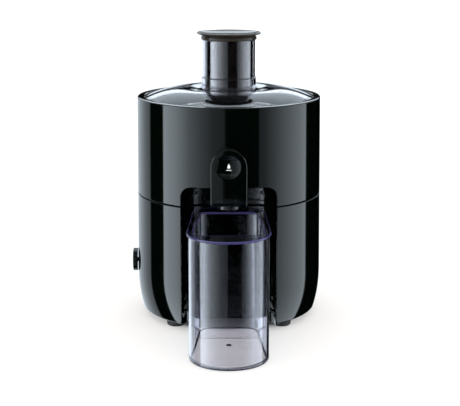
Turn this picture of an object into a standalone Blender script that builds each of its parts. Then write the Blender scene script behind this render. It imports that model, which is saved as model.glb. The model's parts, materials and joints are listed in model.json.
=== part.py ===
"""Centrifugal juicer with a front spout, a clear lid and feed chute, and a separate jug.

Metres, +Z up. The front faces -Y. Shapes are worked out about the motor axis, which stands at
(AXIS_X, AXIS_Y), so that the world origin is the middle of the whole object's footprint.
"""

from math import cos, pi, radians, sin, tan

import bmesh
import bpy
from mathutils import Matrix, Vector

# Body: a turned shell, parted at the seam into the motor base and the pulp housing
SEAM_R = 0.126
SEAM_Z = 0.1725
SEAM_GAP = 0.0015
DRAFT = radians(0.5)
BOTTOM_Z = 0.0085
RIM_Z = 0.305
TUCK_Z = 0.070  # below this height the wall draws in
TUCK = 0.0085
TUCK_POWER = 2.4
WALL = 0.0028
GAP = 0.0003  # between pieces that touch
DECK_Z = SEAM_Z - SEAM_GAP / 2
HOUSING_Z = SEAM_Z + SEAM_GAP / 2
HOUSING_SPLIT_Z = 0.2045  # above the bay, where the housing's wall is a plain turned ring
BODY_STEPS = 48

# Jug bay, sunk into the front of both halves
BAY_HALF = 0.0625
BAY_BACK_Y = -0.062
BAY_PLAN_R = 0.038
BAY_TOP_Z = 0.200
BAY_TOP_R = 0.015
BAY_LEDGES = ((0.002, 0.046), (0.006, 0.025))  # how far each ledge stands forward, and its top

# Motor
MOTOR_STEPS = 24
SHAFT_R = 0.004
BORE_R = SHAFT_R + GAP
SHAFT_LOW, SHAFT_HIGH = 0.026, 0.214
STATOR_R, STATOR_BORE, POLE_R = 0.044, 0.038, 0.0243
STATOR_LOW, STATOR_HIGH = 0.070, 0.125
LOWER_BRACKET_Z, UPPER_BRACKET_Z, BRACKET_THICK = 0.052, 0.148, 0.004
BRACKET_R, POST_Y, POST_R = 0.046, 0.041, 0.0028
MOUNT_AT = 0.030
BOSS_R, BOSS_BORE, BOSS_TOP_Z = 0.022, 0.018, 0.206

# Basket and juice bowl
DISC_Z = 0.222
BASKET_FOOT_R, BASKET_TOP_R, BASKET_TOP_Z = 0.046, 0.066, 0.284
BOWL_R, BOWL_WALL, BOWL_FLOOR_Z, BOWL_TOP_Z = 0.079, 0.0025, 0.204, 0.281
TUBE_R, TUBE_WALL = 0.027, 0.0025

# Lid, chute and pusher
LEDGE_Z, LEDGE_R, RING_R = 0.301, 0.110, 0.1148
LID_R = 0.114
CHUTE_R, CHUTE_WALL = 0.0359, 0.0022
CHUTE_LOW, CHUTE_HIGH = 0.232, 0.381
PUSHER_R, PUSHER_WALL, PUSHER_LOW = 0.0329, 0.002, 0.236

# Spout
SPOUT_Y, SPOUT_R, SPOUT_BORE = -0.118, 0.0145, 0.0115
SPOUT_LOW, SPOUT_HIGH = 0.173, 0.222
CHAMBER_HALF, CHAMBER_FRONT_Y = 0.020, -0.116
CHAMBER_LOW, CHAMBER_HIGH, CHAMBER_WALL = 0.207, 0.250, 0.002
COVER_HALF, COVER_WALL, COVER_LOW, COVER_ARCH_Z = 0.0236, 0.0022, 0.179, 0.2300
COVER_FRONT_Y, COVER_BACK_Y = -0.1375, -0.101
VALVE_Z, VALVE_STEM_R, GATE_R = 0.2307, 0.003, 0.0165
DRIP_KNOB_R = 0.0162

# Jug and its lid
JUG_R, JUG_CENTRE_Y, JUG_BACK_Y, JUG_BACK_HALF, JUG_BACK_R = 0.0505, -0.207, -0.092, 0.0435, 0.022
JUG_HIGH, JUG_WALL, JUG_FLOOR = 0.160, 0.0025, 0.003
JUG_LID_R, JUG_LID_BACK_Y, JUG_LID_THICK = 0.0523, -0.070, 0.0032

# Controls, feet and fasteners
SPEED_KNOB_Z, SPEED_KNOB_R, SPEED_KNOB_FACE_X, SPEED_STEM_END_X = 0.0728, 0.016, -0.1342, -0.113
GLAND_Z, GLAND_END_Y = 0.032, 0.1278
FOOT_X, FOOT_Y, FOOT_R = 0.0717, 0.071, 0.013
SCREW_RING_R = 0.096
SCREW_ANGLES = (-10, 30, 150, 190)
PLATE_R, PLATE_THICK = 0.1112, 0.003

# Colour, roughness and metallic value of each material
FINISHES = {
    "gloss_black": ((0.010, 0.011, 0.012), 0.08, 0.0),
    "satin_black": ((0.020, 0.020, 0.021), 0.35, 0.0),
    "dark_grey": ((0.070, 0.066, 0.060), 0.30, 0.0),
    "clear": ((0.92, 0.93, 0.97), 0.04, 0.0),
    "smoke": ((0.10, 0.10, 0.11), 0.12, 0.0),
    "stainless": ((0.62, 0.60, 0.57), 0.25, 1.0),
    "steel": ((0.48, 0.48, 0.49), 0.35, 1.0),
    "lamination": ((0.22, 0.22, 0.23), 0.45, 1.0),
    "copper": ((0.72, 0.33, 0.16), 0.35, 1.0),
    "rubber": ((0.025, 0.025, 0.026), 0.75, 0.0),
    "white_plastic": ((0.75, 0.75, 0.72), 0.45, 0.0),
}


def body_radius(z):
    """Outer radius of the body at a height: a slight draft, drawn in towards the bottom edge."""
    radius = SEAM_R + (SEAM_Z - z) * tan(DRAFT)
    if z < TUCK_Z:
        radius -= TUCK * ((TUCK_Z - z) / (TUCK_Z - BOTTOM_Z)) ** TUCK_POWER
    return radius


def body_side(heights, inset=0.0):
    return [(body_radius(z) - inset, z) for z in heights]


BASE_HEIGHTS = (TUCK_Z, 0.045, 0.027, 0.0135)
AXIS_X = -(SPEED_KNOB_FACE_X + body_radius(TUCK_Z)) / 2
AXIS_Y = -(JUG_CENTRE_Y - JUG_LID_R + GLAND_END_Y) / 2

for old in list(bpy.data.objects):
    bpy.data.objects.remove(old)
juicer = bpy.data.collections.new("centrifugal_juicer")
cutters = bpy.data.collections.new("cutters")
for group in (juicer, cutters):
    bpy.context.scene.collection.children.link(group)
cutters.hide_render = True


# ---------------------------------------------------------------- shapes


def finished(helper):
    """The evaluated mesh of a helper object, welded and shaded smooth; the helper goes."""
    cutters.objects.link(helper)
    graph = bpy.context.evaluated_depsgraph_get()
    mesh = bpy.data.meshes.new_from_object(helper.evaluated_get(graph))
    bpy.data.objects.remove(helper)
    shape = bmesh.new()
    shape.from_mesh(mesh)
    bmesh.ops.remove_doubles(shape, verts=shape.verts, dist=1e-6)
    shape.to_mesh(mesh)
    shape.free()
    mesh.shade_smooth()
    mesh.set_sharp_from_angle(angle=radians(35))
    return mesh


def turned(profile, steps=MOTOR_STEPS):
    """A profile of (radius, height) points turned about Z.

    It runs down its outer side. It is open if it starts on the axis, and closed if it doesn't.
    """
    count = len(profile)
    edges = [(i, i + 1) for i in range(count - 1)]
    if profile[0][0] > 0:
        edges.append((count - 1, 0))
    mesh = bpy.data.meshes.new("profile")
    mesh.from_pydata([(r, 0, z) for r, z in profile], edges, [])
    helper = bpy.data.objects.new("profile", mesh)
    screw = helper.modifiers.new("turn", "SCREW")
    screw.steps = screw.render_steps = steps
    screw.use_merge_vertices = True
    screw.merge_threshold = 1e-6
    return finished(helper)


def ring(inner, outer, low, high, steps=MOTOR_STEPS):
    return turned([(outer, high), (outer, low), (inner, low), (inner, high)], steps)


def rod(radius, low, high, steps=MOTOR_STEPS):
    return turned([(0, high), (radius, high), (radius, low), (0, low)], steps)


def box(low, high):
    shape = bmesh.new()
    bmesh.ops.create_cube(shape)
    middle = [(a + b) / 2 for a, b in zip(low, high)]
    sides = [b - a for a, b in zip(low, high)]
    bmesh.ops.transform(
        shape, matrix=Matrix.LocRotScale(middle, None, sides), verts=shape.verts
    )
    mesh = bpy.data.meshes.new("box")
    shape.to_mesh(mesh)
    shape.free()
    return mesh


def rounded(corners, steps=5):
    """Outline through (x, y, radius) corners, each rounded by an arc of its radius."""
    points = []
    for i, (x, y, radius) in enumerate(corners):
        corner = Vector((x, y))
        back = (Vector(corners[i - 1][:2]) - corner).normalized()
        onward = (Vector(corners[(i + 1) % len(corners)][:2]) - corner).normalized()
        half = back.angle(onward) / 2
        centre = corner + (back + onward).normalized() * radius / sin(half)
        start = corner + back * radius / tan(half) - centre
        turn = (pi - 2 * half) * (1 if onward.cross(back) > 0 else -1)
        for k in range(steps + 1):
            points.append(centre + Matrix.Rotation(turn * k / steps, 2) @ start)
    return points


def prism(outlines, low, high):
    """Flat outlines of (x, y) points from low to high along Z; each after the first is a hole."""
    curve = bpy.data.curves.new("outline", "CURVE")
    curve.dimensions = "2D"
    curve.fill_mode = "BOTH"
    curve.extrude = (high - low) / 2
    for points in outlines:
        spline = curve.splines.new("POLY")
        spline.points.add(len(points) - 1)
        for point, (x, y) in zip(spline.points, points):
            point.co = (x, y, 0, 1)
        spline.use_cyclic_u = True
    mesh = finished(bpy.data.objects.new("outline", curve))
    mesh.transform(Matrix.Translation((0, 0, (low + high) / 2)))
    return mesh


def upright(outline, front, back):
    """An outline of (x, z) points that runs from front to back along Y."""
    mesh = prism([outline], -back, -front)
    mesh.transform(Matrix.Rotation(pi / 2, 4, "X"))
    return mesh


def along_y(mesh, z):
    """A shape turned about Z laid along +Y instead, at a height."""
    mesh.transform(Matrix.Translation((0, 0, z)) @ Matrix.Rotation(-pi / 2, 4, "X"))
    return mesh


def gathered(pieces):
    """Several (mesh, matrix) pieces that don't touch, as one mesh."""
    shape = bmesh.new()
    for mesh, matrix in pieces:
        copy = mesh.copy()
        copy.transform(matrix)
        shape.from_mesh(copy)
        bpy.data.meshes.remove(copy)
    mesh = bpy.data.meshes.new("pieces")
    shape.to_mesh(mesh)
    shape.free()
    return mesh


def at(*place):
    return Matrix.Translation(place)


# ---------------------------------------------------------------- objects

axes = {}


def body_axis(name, parent=None, place=(0, 0, 0)):
    """An empty on a moving body's joint axis; place is measured from the foot of the motor axis."""
    empty = bpy.data.objects.new(f"{name}_axis", None)
    empty.empty_display_size = 0.02
    juicer.objects.link(empty)
    axes[name] = (empty, Vector(place))
    if parent:
        empty.parent, parent_place = axes[parent]
        empty.location = Vector(place) - parent_place
    else:
        empty.location = (AXIS_X, AXIS_Y, 0)


def material(finish):
    made = bpy.data.materials.get(finish)
    if made:
        return made
    color, roughness, metallic = FINISHES[finish]
    made = bpy.data.materials.new(finish)
    made.use_nodes = True
    made.diffuse_color = (*color, 1)
    shader = made.node_tree.nodes["Principled BSDF"]
    shader.inputs["Base Color"].default_value = (*color, 1)
    shader.inputs["Roughness"].default_value = roughness
    shader.inputs["Metallic"].default_value = metallic
    if finish in ("clear", "smoke"):
        shader.inputs["Transmission Weight"].default_value = 0.9
    return made


def node(name, mesh, body, finish, place=(0, 0, 0), cuts=(), joins=()):
    """One sub-part, with the shapes joined to it and then those cut from it."""
    empty, origin = axes[body]
    mesh.materials.clear()
    mesh.materials.append(material(finish))
    made = bpy.data.objects.new(name, mesh)
    made.parent = empty
    made.location = Vector(place) - origin
    juicer.objects.link(made)
    for operation, tools in (("UNION", joins), ("DIFFERENCE", cuts)):
        for tool in tools:
            boolean = made.modifiers.new(tool.name, "BOOLEAN")
            boolean.operation = operation
            boolean.object = tool
    return made


def tool(name, mesh, within=()):
    """A helper shape that nodes are cut by or joined to, kept to the part of it within others."""
    made = bpy.data.objects.new(name, mesh)
    made.parent = axes["base"][0]
    made.hide_render = True
    made.display_type = "WIRE"
    cutters.objects.link(made)
    for other in within:
        boolean = made.modifiers.new(other.name, "BOOLEAN")
        boolean.operation = "INTERSECT"
        boolean.object = other
    return made


body_axis("base")
body_axis("rotor", "base", (0, 0, SHAFT_LOW))
body_axis("speed_knob", "base", (SPEED_STEM_END_X, 0, SPEED_KNOB_Z))
body_axis("housing", "base", (0, 0, HOUSING_Z))
body_axis("drip_knob", "housing", (0, COVER_FRONT_Y, VALVE_Z))
body_axis("basket", "housing", (0, 0, DISC_Z))
body_axis("lid", "housing", (0, 0, LEDGE_Z))
body_axis("pusher", "lid", (0, 0, CHUTE_HIGH))
body_axis("jug", "base", (0, JUG_CENTRE_Y, 0))
body_axis("jug_lid", "jug", (0, JUG_CENTRE_Y, JUG_HIGH))


# ---------------------------------------------------------------- jug bay


def bay_plan(grow, back_y):
    half = BAY_HALF + grow
    front_y = -SEAM_R - 0.02
    return rounded(
        [
            (-half, front_y, 0.001),
            (half, front_y, 0.001),
            (half, back_y, BAY_PLAN_R + grow),
            (-half, back_y, BAY_PLAN_R + grow),
        ],
        steps=8,
    )


def bay_front(name, grow, low):
    """The bay's outline seen from the front, run through the body from front to back."""
    half, high, radius = BAY_HALF + grow, BAY_TOP_Z + grow, BAY_TOP_R + grow
    outline = rounded(
        [(-half, low, 0.001), (half, low, 0.001), (half, high, radius), (-half, high, radius)]
    )
    return tool(name, upright(outline, -0.2, 0))


bay_opening = tool(
    "bay_opening",
    prism([bay_plan(0, BAY_BACK_Y)], BAY_LEDGES[0][1], 0.22),
    within=[bay_front("bay_opening_front", 0, 0.01)],
)
ledge_lows = (BAY_LEDGES[1][1], -0.005)
ledge_cuts = [
    tool(f"bay_ledge_{i}", prism([bay_plan(0, BAY_BACK_Y - forward)], low, high + 0.0001))
    for i, ((forward, high), low) in enumerate(zip(BAY_LEDGES, ledge_lows))
]
body_core = tool(
    "body_core",
    turned(
        [(0, 0.25)] + body_side((0.25, *BASE_HEIGHTS, BOTTOM_Z), 0.0012) + [(0, BOTTOM_Z)],
        BODY_STEPS,
    ),
)
base_bay = tool(
    "base_bay_wall",
    prism([bay_plan(WALL, BAY_BACK_Y + WALL)], BOTTOM_Z + 0.001, DECK_Z - WALL / 2),
    within=[body_core],
)
housing_bay = tool(
    "housing_bay_wall",
    prism([bay_plan(WALL, BAY_BACK_Y + WALL)], HOUSING_Z + 0.001, 0.22),
    within=[bay_front("housing_bay_front", WALL, 0.1), body_core],
)


# ---------------------------------------------------------------- base


def screw_places(radius=SCREW_RING_R):
    return [(radius * cos(radians(a)), radius * sin(radians(a))) for a in SCREW_ANGLES]


def base_shell():
    bottom_r = body_radius(BOTTOM_Z)
    lip_r = bottom_r - 0.0045
    under_deck = DECK_Z - WALL
    profile = (
        [(body_radius(DECK_Z) - 0.0008, DECK_Z), (body_radius(DECK_Z), DECK_Z - 0.0008)]
        + body_side(BASE_HEIGHTS)
        + [(bottom_r - 0.0013, 0.0098), (lip_r, BOTTOM_Z), (lip_r - 0.002, BOTTOM_Z)]
        + body_side((0.015, 0.040, TUCK_Z, under_deck), WALL)
        + [(BOSS_BORE, under_deck), (BOSS_BORE, BOSS_TOP_Z - WALL), (0.0085, BOSS_TOP_Z - WALL)]
        + [(0.0085, BOSS_TOP_Z), (BOSS_R, BOSS_TOP_Z), (BOSS_R, DECK_Z)]
    )
    boss, pilot = rod(0.005, 0.0118, 0.034, 8), rod(0.0022, 0.005, 0.026, 8)
    rib = box((0.0045, -0.001, 0.0128), (0.0225, 0.001, 0.033))
    turns = [Matrix.Rotation(radians(a), 4, "Z") for a in SCREW_ANGLES]
    bosses = [(boss, at(x, y, 0)) for x, y in screw_places()]
    ribs = [(rib, turn @ at(SCREW_RING_R, 0, 0)) for turn in turns]
    pilots = [(pilot, at(x, y, 0)) for x, y in screw_places()]
    stem_hole = rod(0.0036, 0.110, 0.135, 12)
    stem_hole.transform(at(0, 0, SPEED_KNOB_Z) @ Matrix.Rotation(-pi / 2, 4, "Y"))
    node(
        "base_shell",
        turned(profile, BODY_STEPS),
        "base",
        "gloss_black",
        joins=[base_bay, tool("screw_bosses", gathered(bosses)), tool("boss_ribs", gathered(ribs))],
        cuts=[
            bay_opening,
            *ledge_cuts,
            tool("screw_pilots", gathered(pilots)),
            tool("speed_stem_hole", stem_hole),
            tool("gland_hole", along_y(rod(0.0064, 0.110, 0.135, 16), GLAND_Z)),
        ],
    )


def base_plate():
    top_z = BOTTOM_Z + PLATE_THICK
    clearance = WALL + 0.0008
    bay = prism([bay_plan(clearance, BAY_BACK_Y + clearance)], 0, 0.02)
    slot = box((-0.020, -0.0018, 0), (0.020, 0.0018, 0.02))
    slots = [(slot, at(x, y, 0)) for x in (-0.026, 0.026) for y in (-0.020, -0.010, 0, 0.010, 0.020)]
    holes = [(rod(0.0024, 0, 0.02, 8), at(x, y, 0)) for x, y in screw_places()]
    sinks = [(rod(0.0046, 0, 0.0107, 10), at(x, y, 0)) for x, y in screw_places()]
    foot_holes = [(rod(0.0046, 0, 0.02, 10), at(x, y, 0)) for x, y in foot_places().values()]
    node(
        "base_plate",
        rod(PLATE_R, BOTTOM_Z, top_z, BODY_STEPS),
        "base",
        "satin_black",
        cuts=[
            tool("plate_bay", bay),
            tool("plate_slots", gathered(slots + foot_holes)),
            tool("plate_screw_holes", gathered(holes)),
            tool("plate_screw_sinks", gathered(sinks)),
        ],
    )


def foot_places():
    return {
        "front_left": (-FOOT_X, -FOOT_Y),
        "front_right": (FOOT_X, -FOOT_Y),
        "rear_left": (-FOOT_X, FOOT_Y),
        "rear_right": (FOOT_X, FOOT_Y),
    }


def feet_and_screws():
    foot = turned(
        [(0, 0.013), (0.004, 0.013), (0.004, BOTTOM_Z - GAP), (FOOT_R - 0.001, BOTTOM_Z - GAP)]
        + [(FOOT_R, 0.007), (FOOT_R - 0.0005, 0.001), (FOOT_R - 0.0015, 0), (0, 0)],
        16,
    )
    for corner, (x, y) in foot_places().items():
        node(f"foot_{corner}", foot, "base", "rubber", (x, y, 0))
    screw = turned(
        [(0, 0.024), (0.0019, 0.024), (0.0019, 0.0104), (0.0041, 0.0104), (0.0041, 0.0088), (0, 0.0088)],
        8,
    )
    for number, (x, y) in enumerate(screw_places(), 1):
        node(f"base_screw_{number}", screw, "base", "steel", (x, y, 0))


# ---------------------------------------------------------------- motor


def bracket(name, low, post_low, post_high, bearing_r):
    posts = [(rod(POST_R, post_low, post_high, 12), at(0, y, 0)) for y in (-POST_Y, POST_Y)]
    node(
        name,
        ring(bearing_r + GAP, BRACKET_R, low, low + BRACKET_THICK, 32),
        "base",
        "steel",
        joins=[tool(f"{name}_posts", gathered(posts))],
    )


def motor_stator():
    pole = box((0.022, -0.0135, STATOR_LOW + 0.0005), (0.040, 0.0135, STATOR_HIGH - 0.0005))
    poles = [(pole, Matrix.Rotation(turn, 4, "Z")) for turn in (0, pi)]
    node(
        "stator_core",
        ring(STATOR_BORE, STATOR_R, STATOR_LOW, STATOR_HIGH, 32),
        "base",
        "lamination",
        joins=[tool("stator_poles", gathered(poles))],
        cuts=[tool("air_gap", rod(POLE_R, 0.06, 0.14, 32))],
    )
    for side, x in (("left", -0.0285), ("right", 0.0285)):
        node(f"field_coil_{side}", coil(x), "base", "copper")


def coil(x):
    """A field winding: a closed loop of bundled wire around its pole."""
    half_y, wire_r, overhang = 0.018, 0.0032, 0.0045
    low, high = STATOR_LOW - overhang, STATOR_HIGH + overhang
    corners = [(-half_y, low), (half_y, low), (half_y, high), (-half_y, high)]
    curve = bpy.data.curves.new("coil", "CURVE")
    curve.dimensions = "3D"
    curve.bevel_depth = wire_r
    curve.bevel_resolution = 2
    points = rounded([(y, z, 0.006) for y, z in corners], steps=3)
    spline = curve.splines.new("POLY")
    spline.points.add(len(points) - 1)
    for point, (y, z) in zip(spline.points, points):
        point.co = (x, y, z, 1)
    spline.use_cyclic_u = True
    return finished(bpy.data.objects.new("coil", curve))


def motor_fittings():
    bracket("motor_lower_bracket", LOWER_BRACKET_Z, LOWER_BRACKET_Z + 0.002, STATOR_LOW - GAP, 0.009)
    bracket("motor_upper_bracket", UPPER_BRACKET_Z, STATOR_HIGH + GAP, UPPER_BRACKET_Z + 0.002, 0.010)
    node("lower_bearing", ring(BORE_R, 0.009, 0.050, 0.058), "base", "steel")
    node("upper_bearing", ring(BORE_R, 0.010, 0.146, 0.154), "base", "steel")
    node("shaft_seal", ring(BORE_R, 0.0125, 0.1998, BOSS_TOP_Z - WALL - GAP), "base", "rubber")
    rubber = rod(0.006, UPPER_BRACKET_Z + BRACKET_THICK + GAP, DECK_Z - WALL - GAP, 16)
    corners = [(x, y) for x in (-MOUNT_AT, MOUNT_AT) for y in (-MOUNT_AT, MOUNT_AT)]
    for number, (x, y) in enumerate(corners, 1):
        node(f"motor_mount_{number}", rubber, "base", "rubber", (x, y, 0))
    holder_top = UPPER_BRACKET_Z - GAP
    holder = [(0.0123, 0.1335), (0.036, 0.1335), (0.036, holder_top), (0.026, holder_top)]
    holder += [(0.026, 0.1425), (0.0123, 0.1425)]
    for side, turn in (("left", pi), ("right", 0)):
        mesh = upright(holder, -0.0045, 0.0045)
        mesh.transform(Matrix.Rotation(turn, 4, "Z"))
        node(f"brush_holder_{side}", mesh, "base", "white_plastic")


def rotor():
    node("motor_shaft", rod(SHAFT_R, SHAFT_LOW, SHAFT_HIGH, 16), "rotor", "steel")
    node("armature_core", ring(BORE_R, 0.0235, 0.068, 0.127), "rotor", "lamination")
    node("commutator", ring(BORE_R, 0.0120, 0.131, 0.145), "rotor", "copper")
    blade = box((0.006, -0.0008, 0.0315), (0.0355, 0.0008, 0.043))
    blades = [(blade, Matrix.Rotation(2 * pi * i / 9, 4, "Z") @ at(0.001, 0, 0)) for i in range(9)]
    fan = [(0.008, 0.046), (0.008, 0.032), (0.036, 0.032), (0.036, 0.030), (BORE_R, 0.030), (BORE_R, 0.046)]
    node(
        "cooling_fan",
        turned(fan, 32),
        "rotor",
        "satin_black",
        joins=[tool("fan_blades", gathered(blades))],
    )
    node(
        "drive_coupling",
        rod(0.0125, 0.2085, 0.2187, 6),
        "rotor",
        "satin_black",
        cuts=[tool("coupling_bore", rod(BORE_R, 0.19, SHAFT_HIGH + GAP, 16))],
    )


def controls():
    depth = SPEED_STEM_END_X - SPEED_KNOB_FACE_X
    back = depth - 0.0066
    knob = turned(
        [(0, depth - 0.001), (0.012, depth - 0.001), (0.0145, depth), (SPEED_KNOB_R, depth - 0.0012)]
        + [(SPEED_KNOB_R, back), (VALVE_STEM_R, back), (VALVE_STEM_R, 0), (0, 0)],
        32,
    )
    knob.transform(at(SPEED_STEM_END_X, 0, SPEED_KNOB_Z) @ Matrix.Rotation(-pi / 2, 4, "Y"))
    node("speed_knob", knob, "speed_knob", "gloss_black")
    node("switch_module", box((-0.112, -0.013, 0.058), (-0.090, 0.013, 0.086)), "base", "white_plastic")
    node("interlock_switch", box((-0.010, 0.100, 0.140), (0.010, 0.113, 0.162)), "base", "white_plastic")
    inner = [(0.009, 0.1193), (0.009, 0.1165), (0.0035, 0.1165), (0.0035, GLAND_END_Y)]
    outer = [(0.0085, GLAND_END_Y), (0.0085, 0.1262), (0.0060, 0.1262), (0.0060, 0.1193)]
    gland = turned(outer + inner, 20)
    node("cord_gland", along_y(gland, GLAND_Z), "base", "rubber")


# ---------------------------------------------------------------- housing


def pulp_housing():
    """The housing's floor, bay and tube, and the wall above them as a node of its own."""
    floor_top = HOUSING_Z + 0.0026
    ring_top = RIM_Z - 0.0012
    wall_low = HOUSING_SPLIT_Z + GAP
    spout_gap = box((-0.0152, -0.131, 0.195), (0.0152, -0.103, SPOUT_HIGH + GAP))
    spout_cut = tool("spout_gap", spout_gap)
    stem_cut = tool("stem_gap", along_y(rod(0.0068, -0.131, -0.117, 16), VALVE_Z))

    outer = body_side((HOUSING_SPLIT_Z, HOUSING_Z + 0.0008))
    under = [(body_radius(HOUSING_Z) - 0.0008, HOUSING_Z), (TUBE_R, HOUSING_Z)]
    tube = [(TUBE_R, 0.2005), (TUBE_R + TUBE_WALL, 0.2005), (TUBE_R + TUBE_WALL, floor_top)]
    inner = body_side((floor_top, HOUSING_SPLIT_Z), WALL)
    floor_mesh = turned(outer + under + tube + inner, BODY_STEPS)
    cuts = [bay_opening, spout_cut]
    node("pulp_housing", floor_mesh, "housing", "gloss_black", joins=[housing_bay], cuts=cuts)

    outer = [(body_radius(RIM_Z) - 0.0012, RIM_Z)] + body_side((ring_top, 0.240, wall_low))
    inner = body_side((wall_low, 0.240, LEDGE_Z - 0.0025), WALL)
    top = [(LEDGE_R, LEDGE_Z - 0.0025), (LEDGE_R, LEDGE_Z), (RING_R, LEDGE_Z), (RING_R, RIM_Z - 0.0005)]
    top += [(RING_R + 0.0005, RIM_Z)]
    wall_mesh = turned(outer + inner + top, BODY_STEPS)
    node("pulp_housing_wall", wall_mesh, "housing", "gloss_black", cuts=[spout_cut, stem_cut])


def bowl():
    inner_r = BOWL_R - BOWL_WALL
    floor_top = BOWL_FLOOR_Z + BOWL_WALL
    profile = [(BOWL_R, BOWL_TOP_Z), (BOWL_R, BOWL_FLOOR_Z + 0.0015), (BOWL_R - 0.0015, BOWL_FLOOR_Z)]
    profile += [(TUBE_R - TUBE_WALL, BOWL_FLOOR_Z), (TUBE_R - TUBE_WALL, 0.216), (TUBE_R, 0.216)]
    profile += [(TUBE_R, floor_top), (inner_r, floor_top), (inner_r, BOWL_TOP_Z)]
    window = box((-0.0175, -0.09, 0.2095), (0.0175, -0.06, 0.2475))
    node(
        "juice_bowl",
        turned(profile, BODY_STEPS),
        "housing",
        "smoke",
        cuts=[tool("bowl_window", window)],
    )
    node("bowl_seal", ring(TUBE_R, TUBE_R + TUBE_WALL, 0.2008, BOWL_FLOOR_Z - GAP, 32), "housing", "rubber")


def spout():
    half, wall = CHAMBER_HALF, CHAMBER_WALL
    chamber = box((-half, CHAMBER_FRONT_Y, CHAMBER_LOW), (half, -0.070, CHAMBER_HIGH))
    hollow = box(
        (wall - half, CHAMBER_FRONT_Y + wall, CHAMBER_LOW + wall),
        (half - wall, -0.05, CHAMBER_HIGH - wall),
    )
    pipe, bore = rod(SPOUT_R, SPOUT_LOW, SPOUT_HIGH), rod(SPOUT_BORE, 0.16, SPOUT_HIGH - 0.002)
    for shape in (pipe, bore):
        shape.transform(at(0, SPOUT_Y, 0))
    node(
        "spout_body",
        chamber,
        "housing",
        "smoke",
        joins=[tool("spout_pipe", pipe)],
        cuts=[
            tool("chamber_hollow", hollow),
            tool("bowl_clearance", rod(BOWL_R + GAP, 0.19, 0.27, BODY_STEPS)),
            tool("spout_bore", bore),
            tool("stem_hole", along_y(rod(VALVE_STEM_R + GAP, -0.125, -0.110, 16), VALVE_Z)),
        ],
    )
    seal = ring(VALVE_STEM_R + GAP, 0.0060, -0.1187, CHAMBER_FRONT_Y - GAP, 16)
    node("valve_seal", along_y(seal, VALVE_Z), "housing", "rubber")


def arch(half, low):
    """An upright outline with straight sides and a half-round top."""
    turns = [pi * i / 16 for i in range(17)]
    top = [(half * cos(turn), COVER_ARCH_Z + half * sin(turn)) for turn in turns]
    return [(-half, low), (half, low)] + top


def spout_cover():
    body_face = turned(
        [(0, 0.27)] + body_side((0.27, BAY_TOP_Z - GAP), -0.0004) + [(0, BAY_TOP_Z - GAP)], 96
    )
    hollow = upright(arch(COVER_HALF - COVER_WALL, 0.16), COVER_FRONT_Y + COVER_WALL, -0.05)
    knob_hole = along_y(rod(DRIP_KNOB_R + 0.0005, -0.15, -0.13, 32), VALVE_Z)
    node(
        "spout_cover",
        upright(arch(COVER_HALF, COVER_LOW), COVER_FRONT_Y, COVER_BACK_Y),
        "housing",
        "gloss_black",
        cuts=[tool("cover_hollow", hollow), tool("body_face", body_face), tool("knob_hole", knob_hole)],
    )


def drip_stop():
    back, face = 0.1335, 0.1385
    knob = turned(
        [(0, face - 0.0022), (0.0100, face - 0.0016), (0.0150, face), (DRIP_KNOB_R, face - 0.0008)]
        + [(DRIP_KNOB_R, back), (0, back)],
        32,
    )
    knob.transform(at(0, 0, VALVE_Z) @ Matrix.Rotation(pi / 2, 4, "X"))
    node("drip_stop_knob", knob, "drip_knob", "gloss_black")
    turns = [pi * i / 12 for i in range(-2, 15)]
    flap = [(GATE_R * cos(turn), VALVE_Z - GATE_R * sin(turn)) for turn in turns]
    stem = along_y(rod(VALVE_STEM_R, GAP - back, -0.1105, 16), VALVE_Z)
    node(
        "drip_stop_gate",
        upright(flap, -0.1125, -0.1100),
        "drip_knob",
        "satin_black",
        joins=[tool("gate_stem", stem)],
    )


# ---------------------------------------------------------------- basket, lid and pusher


def basket():
    hub = [(0, DISC_Z - GAP), (0.050, DISC_Z - GAP), (0.050, DISC_Z - 0.0024), (0.018, DISC_Z - 0.003)]
    hub += [(0.018, 0.2075), (0, 0.2075)]
    node(
        "basket_hub",
        turned(hub, 32),
        "basket",
        "satin_black",
        cuts=[tool("coupling_socket", rod(0.0132, 0.20, 0.2191, 6))],
    )
    node("grater_disc", rod(BASKET_FOOT_R - GAP, DISC_Z, DISC_Z + 0.0012, 40), "basket", "stainless")
    cone = [(BASKET_TOP_R, BASKET_TOP_Z), (BASKET_FOOT_R + 0.0012, DISC_Z), (BASKET_FOOT_R, DISC_Z)]
    cone += [(BASKET_TOP_R - 0.0012, BASKET_TOP_Z)]
    node("filter_cone", turned(cone, 40), "basket", "stainless")
    rim = [(0.069, 0.289), (0.070, 0.288), (0.070, 0.2853), (0.069, BASKET_TOP_Z + GAP)]
    rim += [(0.065, BASKET_TOP_Z + GAP), (0.065, 0.289)]
    node("basket_rim", turned(rim, 36), "basket", "stainless")


def lid():
    collar_r = CHUTE_R + 0.0014
    crown = [(0.050, 0.3145), (0.070, 0.3158), (0.084, 0.3148), (0.098, 0.3110), (0.109, 0.3062)]
    outer = [(CHUTE_R, CHUTE_HIGH), (CHUTE_R, 0.331), (collar_r, 0.3298), (collar_r, 0.3134)]
    edge = [(LID_R - 0.002, LEDGE_Z + 0.0028), (LID_R, LEDGE_Z + 0.0025), (LID_R, LEDGE_Z + GAP)]
    edge += [(0.1085, LEDGE_Z + GAP)]
    inner = [(r - 0.0006, z - CHUTE_WALL) for r, z in reversed(crown)]
    chute = [(CHUTE_R, 0.3105), (CHUTE_R, CHUTE_LOW), (CHUTE_R - CHUTE_WALL, CHUTE_LOW)]
    chute += [(CHUTE_R - CHUTE_WALL, CHUTE_HIGH)]
    node("lid", turned(outer + crown + edge + inner + chute, 40), "lid", "clear")
    node("lid_seal", ring(0.1045, 0.1090, 0.2975, LEDGE_Z, 40), "lid", "rubber")


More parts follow.
